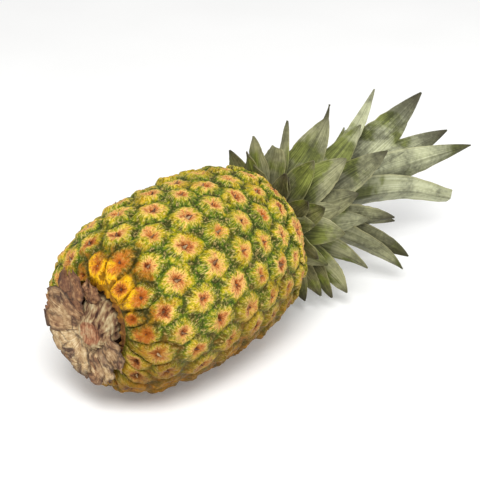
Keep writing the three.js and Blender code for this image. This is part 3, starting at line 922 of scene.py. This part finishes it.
    # Cream lines and brown lines along the streaks, strongest between the centre and the rim.
    line_room = add(tree, "ShaderNodeMapRange", {0: share, 1: 0.08, 2: 0.3, 3: 0.0, 4: 1.0}).outputs[0]
    line_end = add(tree, "ShaderNodeMapRange", {0: share, 1: 0.7, 2: 0.95, 3: 1.0, 4: 0.15}).outputs[0]
    room = add(tree, "ShaderNodeMath", {0: line_room, 1: line_end}, operation="MULTIPLY").outputs[0]
    pale_line = add(tree, "ShaderNodeMapRange", {
        0: fine_streaks, 1: 0.54, 2: 0.68, 3: 0.0, 4: 0.75,
    }).outputs[0]
    pale_line = add(tree, "ShaderNodeMath", {0: pale_line, 1: room}, operation="MULTIPLY").outputs[0]
    pale_line = add(tree, "ShaderNodeMath", {0: pale_line, 1: unripe}, operation="MULTIPLY").outputs[0]
    cream = linear("#f0cc84")
    colour = add(tree, "ShaderNodeMix", {0: pale_line, 6: colour, 7: cream}, data_type="RGBA").outputs[2]
    dark_line = add(tree, "ShaderNodeMapRange", {
        0: fine_streaks, 1: 0.46, 2: 0.34, 3: 0.0, 4: 0.7,
    }).outputs[0]
    dark_line = add(tree, "ShaderNodeMath", {0: dark_line, 1: room}, operation="MULTIPLY").outputs[0]
    brown = linear("#70360f")
    colour = add(tree, "ShaderNodeMix", {0: dark_line, 6: colour, 7: brown}, data_type="RGBA").outputs[2]

    # Dark and pale specks all over.
    speck_share = add(tree, "ShaderNodeMapRange", {0: specks, 1: 0.54, 2: 0.72, 3: 0.0, 4: 0.5}).outputs[0]
    speck_share = add(tree, "ShaderNodeMath", {0: speck_share, 1: unripe}, operation="MULTIPLY").outputs[0]
    colour = add(tree, "ShaderNodeMix", {0: speck_share, 6: colour, 7: cream}, data_type="RGBA").outputs[2]
    pit_share = add(tree, "ShaderNodeMapRange", {0: specks, 1: 0.44, 2: 0.3, 3: 0.0, 4: 0.55}).outputs[0]
    pit = linear("#3c2606")
    colour = add(tree, "ShaderNodeMix", {0: pit_share, 6: colour, 7: pit}, data_type="RGBA").outputs[2]

    # Low on the fruit the skin is painted a darker tan, as shade on the fruit's low side.
    low_noise = add(tree, "ShaderNodeMapRange", {0: broad, 1: 0.3, 2: 0.7, 3: -0.012, 4: 0.012}).outputs[0]
    height = add(tree, "ShaderNodeMath", {0: spot.outputs[2], 1: low_noise}, operation="ADD").outputs[0]
    low_side_shade = add(tree, "ShaderNodeMapRange", {0: height, 1: 0.068, 2: 0.022, 3: 0.0, 4: 0.85}).outputs[0]
    tan = add(tree, "ShaderNodeValToRGB", {0: patches}, ramp=[
        (0.3, "#301c00"), (0.5, "#6a4204"), (0.7, "#a46c18"),
    ]).outputs[0]
    colour = add(tree, "ShaderNodeMix", {0: low_side_shade, 6: colour, 7: tan}, data_type="RGBA").outputs[2]

    # The recess at the ends, past the last eyes, is dry and brown.
    dry = add(tree, "ShaderNodeValToRGB", {0: patches}, ramp=[
        (0.28, "#3a2418"), (0.5, "#5c3c2a"), (0.74, "#8e663e"),
    ]).outputs[0]
    gold_lip = add(tree, "ShaderNodeValToRGB", {0: patches}, ramp=[
        (0.28, "#4c2814"), (0.45, "#8a5816"), (0.6, "#b88416"), (0.74, "#cc9c24"),
    ]).outputs[0]
    lip_share = add(tree, "ShaderNodeMapRange", {0: ripe, 1: 0.3, 2: 0.8, 3: 0.15, 4: 1.0}).outputs[0]
    lip = add(tree, "ShaderNodeMix", {0: lip_share, 6: dry, 7: gold_lip}, data_type="RGBA").outputs[2]
    past = add(tree, "ShaderNodeMath", {
        0: share, 1: (1 + LIP_MARK) / 2,
    }, operation="GREATER_THAN").outputs[0]
    colour = add(tree, "ShaderNodeMix", {0: past, 6: colour, 7: lip}, data_type="RGBA").outputs[2]
    deep = add(tree, "ShaderNodeMath", {
        0: share, 1: (LIP_MARK + DEPTH_MARK) / 2,
    }, operation="GREATER_THAN").outputs[0]
    colour = add(tree, "ShaderNodeMix", {0: deep, 6: colour, 7: dry}, data_type="RGBA").outputs[2]
    tree.links.new(colour, shader.inputs["Base Color"])

    relief = add(tree, "ShaderNodeMath", {0: streaks, 1: patches}, operation="ADD").outputs[0]
    relief = add(tree, "ShaderNodeMath", {0: relief, 1: specks}, operation="ADD").outputs[0]
    relief = add(tree, "ShaderNodeMath", {0: relief, 1: fine_streaks}, operation="ADD").outputs[0]
    bump = add(tree, "ShaderNodeBump", {"Strength": 0.8, "Distance": 0.7 * MM, "Height": relief}).outputs[0]
    tree.links.new(bump, shader.inputs["Normal"])
    gloss = add(tree, "ShaderNodeMapRange", {0: patches, 1: 0.3, 2: 0.7, 3: 0.4, 4: 0.65}).outputs[0]
    tree.links.new(gloss, shader.inputs["Roughness"])
    shader.inputs["IOR"].default_value = 1.4
    shader.inputs["Specular IOR Level"].default_value = 0.22
    return made


def leaf_material():
    """Stiff crown leaf. A pale bloom greys its green, fine ribs run along it, and its tip is dry."""
    made, tree, shader = new_material("bloomed_leaf")
    leaf = add(tree, "ShaderNodeSeparateXYZ", {0: add(tree, "ShaderNodeUVMap", uv_map="leaf").outputs[0]})
    age = add(tree, "ShaderNodeSeparateXYZ", {0: add(tree, "ShaderNodeUVMap", uv_map="age").outputs[0]})
    place = add(tree, "ShaderNodeTexCoord").outputs["Object"]
    across, along = leaf.outputs[0], leaf.outputs[1]
    own, rank = age.outputs[0], age.outputs[1]
    own_far = add(tree, "ShaderNodeMath", {0: own, 1: 30.0}, operation="MULTIPLY").outputs[0]
    ribs_at = add(tree, "ShaderNodeCombineXYZ", {0: across, 1: along, 2: own_far}).outputs[0]
    stretched = add(tree, "ShaderNodeMapping", {"Vector": ribs_at, "Scale": (9.0, 1.4, 1.0)}).outputs[0]
    ribs = add(tree, "ShaderNodeTexNoise", {"Vector": stretched, "Scale": 2.2, "Detail": 4.0}).outputs[0]
    clouds = add(tree, "ShaderNodeTexNoise", {
        "Vector": place, "Scale": every(14.3), "Detail": 5.0,
    }).outputs[0]
    worn = add(tree, "ShaderNodeTexNoise", {
        "Vector": place, "Scale": every(26.3), "Detail": 4.0,
    }).outputs[0]
    scurf = add(tree, "ShaderNodeTexNoise", {
        "Vector": place, "Scale": every(2.38), "Detail": 3.0,
    }).outputs[0]

    old = add(tree, "ShaderNodeValToRGB", {0: ribs}, ramp=[
        (0.25, "#4c4a22"), (0.5, "#696640"), (0.75, "#878458"),
    ]).outputs[0]
    young = add(tree, "ShaderNodeValToRGB", {0: ribs}, ramp=[
        (0.25, "#828462"), (0.5, "#9d9f7e"), (0.75, "#b8ba9c"),
    ]).outputs[0]
    own_youth = add(tree, "ShaderNodeMath", {0: own, 1: 0.35, 2: rank}, operation="MULTIPLY_ADD").outputs[0]
    youth = add(tree, "ShaderNodeMapRange", {0: own_youth, 1: 0.15, 2: 0.9, 3: 0.0, 4: 1.0}).outputs[0]
    colour = add(tree, "ShaderNodeMix", {0: youth, 6: old, 7: young}, data_type="RGBA").outputs[2]
    rubbed = add(tree, "ShaderNodeMapRange", {0: worn, 1: 0.5, 2: 0.58, 3: 0.0, 4: 0.85}).outputs[0]
    bare = add(tree, "ShaderNodeValToRGB", {0: ribs}, ramp=[
        (0.3, "#3e440e"), (0.5, "#5c641c"), (0.7, "#7c8434"),
    ]).outputs[0]
    colour = add(tree, "ShaderNodeMix", {0: rubbed, 6: colour, 7: bare}, data_type="RGBA").outputs[2]
    blotch = add(tree, "ShaderNodeMath", {0: scurf, 1: 0.5, 2: clouds}, operation="MULTIPLY_ADD").outputs[0]
    blotch = add(tree, "ShaderNodeMath", {0: own, 1: 0.22, 2: blotch}, operation="MULTIPLY_ADD").outputs[0]
    shade = add(tree, "ShaderNodeMapRange", {0: blotch, 1: 0.66, 2: 1.04, 3: 0.45, 4: 1.36}).outputs[0]
    shaded = add(tree, "ShaderNodeHueSaturation", {"Value": shade, "Color": colour}).outputs[0]

    # The root is darkened as painted shade where the leaves crowd together, the midrib is a fine dark line
    # that is partly painted shade in the channel's crease, the edge is pale and the tip is dry.
    sideways = add(tree, "ShaderNodeMath", {0: across}, operation="ABSOLUTE").outputs[0]
    # Painted shade at the leaf's root, where the leaves crowd together.
    root_shade_share = add(tree, "ShaderNodeMapRange", {0: along, 1: 0.65, 2: 0.15, 3: 0.0, 4: 0.85}).outputs[0]
    dark = linear("#25240c")
    shaded = add(tree, "ShaderNodeMix", {0: root_shade_share, 6: shaded, 7: dark}, data_type="RGBA").outputs[2]
    # A fine dark midrib line, partly painted shade in the channel's crease.
    rib_and_crease_shade_share = add(tree, "ShaderNodeMapRange", {0: sideways, 1: 0.1, 2: 0.02, 3: 0.0, 4: 0.35}).outputs[0]
    shaded = add(tree, "ShaderNodeMix", {0: rib_and_crease_shade_share, 6: shaded, 7: dark}, data_type="RGBA").outputs[2]
    edge_share = add(tree, "ShaderNodeMapRange", {0: sideways, 1: 0.88, 2: 1.0, 3: 0.0, 4: 0.3}).outputs[0]
    edge = linear("#b0a878")
    shaded = add(tree, "ShaderNodeMix", {0: edge_share, 6: shaded, 7: edge}, data_type="RGBA").outputs[2]
    tip_place = add(tree, "ShaderNodeMath", {
        0: own, 1: -0.1, 2: along,
    }, operation="MULTIPLY_ADD").outputs[0]
    tip_share = add(tree, "ShaderNodeMapRange", {0: tip_place, 1: 0.8, 2: 0.95, 3: 0.0, 4: 0.8}).outputs[0]
    brown = linear("#3a3526")
    shaded = add(tree, "ShaderNodeMix", {0: tip_share, 6: shaded, 7: brown}, data_type="RGBA").outputs[2]
    tree.links.new(shaded, shader.inputs["Base Color"])
    bump = add(tree, "ShaderNodeBump", {"Strength": 0.5, "Distance": 0.4 * MM, "Height": ribs}).outputs[0]
    tree.links.new(bump, shader.inputs["Normal"])
    shader.inputs["Roughness"].default_value = 0.6
    shader.inputs["IOR"].default_value = 1.45
    shader.inputs["Specular IOR Level"].default_value = 0.3
    return made


def dry_bract_material():
    """Dry papery bract: straw to pinkish brown, with long fibres and dark, cracked patches."""
    made, tree, shader = new_material("papery_bract")
    leaf = add(tree, "ShaderNodeSeparateXYZ", {0: add(tree, "ShaderNodeUVMap", uv_map="leaf").outputs[0]})
    age = add(tree, "ShaderNodeSeparateXYZ", {0: add(tree, "ShaderNodeUVMap", uv_map="age").outputs[0]})
    place = add(tree, "ShaderNodeTexCoord").outputs["Object"]
    own_far = add(tree, "ShaderNodeMath", {0: age.outputs[0], 1: 30.0}, operation="MULTIPLY").outputs[0]
    fibre_at = add(tree, "ShaderNodeCombineXYZ", {
        0: leaf.outputs[0], 1: leaf.outputs[1], 2: own_far,
    }).outputs[0]
    stretched = add(tree, "ShaderNodeMapping", {"Vector": fibre_at, "Scale": (16.0, 1.2, 1.0)}).outputs[0]
    fine = add(tree, "ShaderNodeTexNoise", {"Vector": stretched, "Scale": 2.0, "Detail": 5.0}).outputs[0]
    grit = add(tree, "ShaderNodeTexNoise", {
        "Vector": place, "Scale": every(2.38), "Detail": 3.0,
    }).outputs[0]
    fibres = add(tree, "ShaderNodeMix", {0: 0.45, 2: fine, 3: grit}).outputs[0]
    stains = add(tree, "ShaderNodeTexNoise", {
        "Vector": place, "Scale": every(11.1), "Detail": 5.0,
    }).outputs[0]
    straw = add(tree, "ShaderNodeValToRGB", {0: fibres}, ramp=[
        (0.34, "#7c5a38"), (0.5, "#bc9c6e"), (0.64, "#e2cca4"),
    ]).outputs[0]
    stale = add(tree, "ShaderNodeValToRGB", {0: fibres}, ramp=[
        (0.34, "#3e2416"), (0.5, "#7c5234"), (0.64, "#b48a5c"),
    ]).outputs[0]
    warp = add(tree, "ShaderNodeTexNoise", {
        "Vector": place, "Scale": every(FLAKE_WARP_SIZE), "Detail": 3.0,
    }).outputs[1]
    cracked = add(tree, "ShaderNodeVectorMath", {
        0: warp, 1: (0.012, 0.012, 0.012), 2: place,
    }, operation="MULTIPLY_ADD").outputs[0]
    chunk = add(tree, "ShaderNodeTexVoronoi", {
        "Vector": cracked, "Scale": every(FLAKE_SIZE),
    }, feature="F1").outputs["Color"]
    chunk_tone = add(tree, "ShaderNodeSeparateXYZ", {0: chunk}).outputs[0]
    aged = add(tree, "ShaderNodeMath", {
        0: chunk_tone, 1: 0.35, 2: age.outputs[0],
    }, operation="MULTIPLY_ADD").outputs[0]
    aged = add(tree, "ShaderNodeMath", {0: stains, 1: 0.9, 2: aged}, operation="MULTIPLY_ADD").outputs[0]
    staleness = add(tree, "ShaderNodeMapRange", {0: aged, 1: 0.72, 2: 1.3, 3: 0.0, 4: 1.0}).outputs[0]
    colour = add(tree, "ShaderNodeMix", {0: staleness, 6: straw, 7: stale}, data_type="RGBA").outputs[2]
    cell = add(tree, "ShaderNodeTexVoronoi", {
        "Vector": cracked, "Scale": every(FLAKE_SIZE),
    }, feature="DISTANCE_TO_EDGE")
    crack = add(tree, "ShaderNodeMapRange", {
        0: cell.outputs[0], 1: 0.09, 2: 0.0, 3: 0.0, 4: 0.8,
    }).outputs[0]
    broken = add(tree, "ShaderNodeMapRange", {0: stains, 1: 0.44, 2: 0.56, 3: 0.1, 4: 1.0}).outputs[0]
    crack = add(tree, "ShaderNodeMath", {0: crack, 1: broken}, operation="MULTIPLY").outputs[0]
    crack_colour = linear("#2a1810")
    colour = add(tree, "ShaderNodeMix", {0: crack, 6: colour, 7: crack_colour}, data_type="RGBA").outputs[2]
    stain_share = add(tree, "ShaderNodeMapRange", {0: stains, 1: 0.54, 2: 0.68, 3: 0.0, 4: 0.7}).outputs[0]
    purple = linear("#5a3628")
    colour = add(tree, "ShaderNodeMix", {0: stain_share, 6: colour, 7: purple}, data_type="RGBA").outputs[2]
    sideways = add(tree, "ShaderNodeMath", {0: leaf.outputs[0]}, operation="ABSOLUTE").outputs[0]
    edge_at = add(tree, "ShaderNodeMath", {
        0: stains, 1: 0.5, 2: sideways,
    }, operation="MULTIPLY_ADD").outputs[0]
    edge_share = add(tree, "ShaderNodeMapRange", {0: edge_at, 1: 1.06, 2: 1.24, 3: 0.0, 4: 0.7}).outputs[0]
    dark = linear("#33201a")
    colour = add(tree, "ShaderNodeMix", {0: edge_share, 6: colour, 7: dark}, data_type="RGBA").outputs[2]
    tree.links.new(colour, shader.inputs["Base Color"])
    relief = add(tree, "ShaderNodeMath", {0: fibres, 1: stains}, operation="ADD").outputs[0]
    relief = add(tree, "ShaderNodeMath", {
        0: crack, 1: -0.9, 2: relief,
    }, operation="MULTIPLY_ADD").outputs[0]
    bump = add(tree, "ShaderNodeBump", {"Strength": 0.9, "Distance": 0.9 * MM, "Height": relief}).outputs[0]
    tree.links.new(bump, shader.inputs["Normal"])
    shader.inputs["Roughness"].default_value = 0.85
    return made


def stalk_material():
    """Cut fruit stalk, torn and corky: pale ridges over dark furrows, round a pinkish brown scar."""
    made, tree, shader = new_material("torn_stalk")
    place = add(tree, "ShaderNodeTexCoord").outputs["Object"]
    furrow = add(tree, "ShaderNodeSeparateXYZ", {
        0: add(tree, "ShaderNodeUVMap", uv_map="furrow").outputs[0],
    })
    drawn = add(tree, "ShaderNodeMapping", {"Vector": place, "Scale": (0.4, 1.0, 0.22)}).outputs[0]
    fibres = add(tree, "ShaderNodeTexNoise", {
        "Vector": drawn, "Scale": every(1.11), "Detail": 5.0,
    }).outputs[0]
    patches = add(tree, "ShaderNodeTexNoise", {
        "Vector": place, "Scale": every(6.67), "Detail": 5.0,
    }).outputs[0]
    both = add(tree, "ShaderNodeMath", {0: fibres, 1: patches}, operation="ADD").outputs[0]
    lifted = add(tree, "ShaderNodeMath", {
        0: furrow.outputs[0], 1: 0.07, 2: both,
    }, operation="MULTIPLY_ADD").outputs[0]
    ridges = add(tree, "ShaderNodeValToRGB", {
        0: add(tree, "ShaderNodeMath", {0: lifted, 1: 0.5}, operation="MULTIPLY").outputs[0],
    }, ramp=[
        (0.36, "#38221a"), (0.44, "#6e4e38"), (0.51, "#937856"), (0.59, "#ac9872"), (0.7, "#c6b692"),
    ]).outputs[0]
    scar = add(tree, "ShaderNodeValToRGB", {
        0: add(tree, "ShaderNodeMath", {0: both, 1: 0.5}, operation="MULTIPLY").outputs[0],
    }, ramp=[(0.38, "#50301e"), (0.47, "#805238"), (0.55, "#a27050"), (0.66, "#c09a78")]).outputs[0]
    outer = add(tree, "ShaderNodeMath", {
        0: patches, 1: 0.8, 2: furrow.outputs[1],
    }, operation="MULTIPLY_ADD").outputs[0]
    outer = add(tree, "ShaderNodeMapRange", {0: outer, 1: 0.42, 2: 0.62, 3: 0.0, 4: 1.0}).outputs[0]
    colour = add(tree, "ShaderNodeMix", {0: outer, 6: scar, 7: ridges}, data_type="RGBA").outputs[2]
    tree.links.new(colour, shader.inputs["Base Color"])
    bump = add(tree, "ShaderNodeBump", {"Strength": 0.9, "Distance": 0.8 * MM, "Height": both}).outputs[0]
    tree.links.new(bump, shader.inputs["Normal"])
    shader.inputs["Roughness"].default_value = 0.9
    shader.inputs["Specular IOR Level"].default_value = 0.3
    return made


def floor_material():
    """Matt white studio paper, barely mottled."""
    made, tree, shader = new_material("white_paper")
    place = add(tree, "ShaderNodeTexCoord").outputs["Object"]
    mottle = add(tree, "ShaderNodeTexNoise", {
        "Vector": place, "Scale": every(167), "Detail": 2.0,
    }).outputs[0]
    colour = add(tree, "ShaderNodeValToRGB", {
        0: mottle,
    }, ramp=[(0.3, "#f3f3f2"), (0.7, "#f7f7f6")]).outputs[0]
    tree.links.new(colour, shader.inputs["Base Color"])
    shader.inputs["Roughness"].default_value = 0.9
    shader.inputs["Emission Color"].default_value = (1, 1, 1, 1)
    shader.inputs["Emission Strength"].default_value = 0.12
    return made


def make_floor():
    bpy.ops.mesh.primitive_plane_add(size=8, location=(0, 0, 0))
    floor = bpy.context.active_object
    floor.name = "floor"
    floor.data.materials.append(floor_material())


def aimed(name, data, place, back):
    """A camera or a light at a place, turned to face against a direction."""
    made = new_object(name, data)
    made.location = place
    made.rotation_mode = "QUATERNION"
    made.rotation_quaternion = back.to_track_quat("Z", "Y")
    return made


def make_camera():
    azimuth, elevation = radians(CAMERA_AZIMUTH), radians(CAMERA_ELEVATION)
    level = cos(elevation)
    back = Vector((sin(azimuth) * level, -cos(azimuth) * level, sin(elevation)))
    place = (Vector(CAMERA_LOOK) + back * CAMERA_DISTANCE) * MM
    camera = aimed("camera", bpy.data.cameras.new("camera"), place, back)
    camera.data.sensor_width = SENSOR_WIDTH
    camera.data.lens = SENSOR_WIDTH * FOCAL_PIXELS / IMAGE_WIDTH
    camera.data.clip_start = 0.01
    bpy.context.scene.camera = camera


def make_light(name, place, aim, size, power):
    """A soft square light that faces a point."""
    lamp = bpy.data.lights.new(name, "AREA")
    lamp.size = size
    lamp.energy = power
    aimed(name, lamp, place, Vector(place) - Vector(aim))


def make_studio():
    make_floor()
    make_light("key", (-0.75, -0.55, 1.25), (0.05, 0, 0.05), 0.7, 20)
    make_light("fill", (0.9, -1.1, 0.9), (0.05, 0, 0.05), 1.2, 4)
    world = bpy.data.worlds.new("studio")
    world.use_nodes = True
    background = world.node_tree.nodes["Background"]
    background.inputs["Color"].default_value = (1, 1, 1, 1)
    background.inputs["Strength"].default_value = 0.6
    bpy.context.scene.world = world
    bpy.context.scene.view_settings.view_transform = "Standard"


def finish_piece(piece, material, node):
    piece.data.materials.append(material)
    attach(piece, "root")
    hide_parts(node)


make_camera()
rind, eye_centres = make_rind()
finish_piece(rind, rind_material(), "fruit")
leaf_finish = leaf_material()
finish_piece(make_crown(), leaf_finish, "crown")
finish_piece(make_stalk_bracts(), dry_bract_material(), "stalk")
finish_piece(make_stalk(), stalk_material(), "stalk")
finish_piece(make_eye_tips(eye_centres), dry_bract_material(), "fruit")
finish_piece(make_shoot(), leaf_finish, "crown")
make_studio()
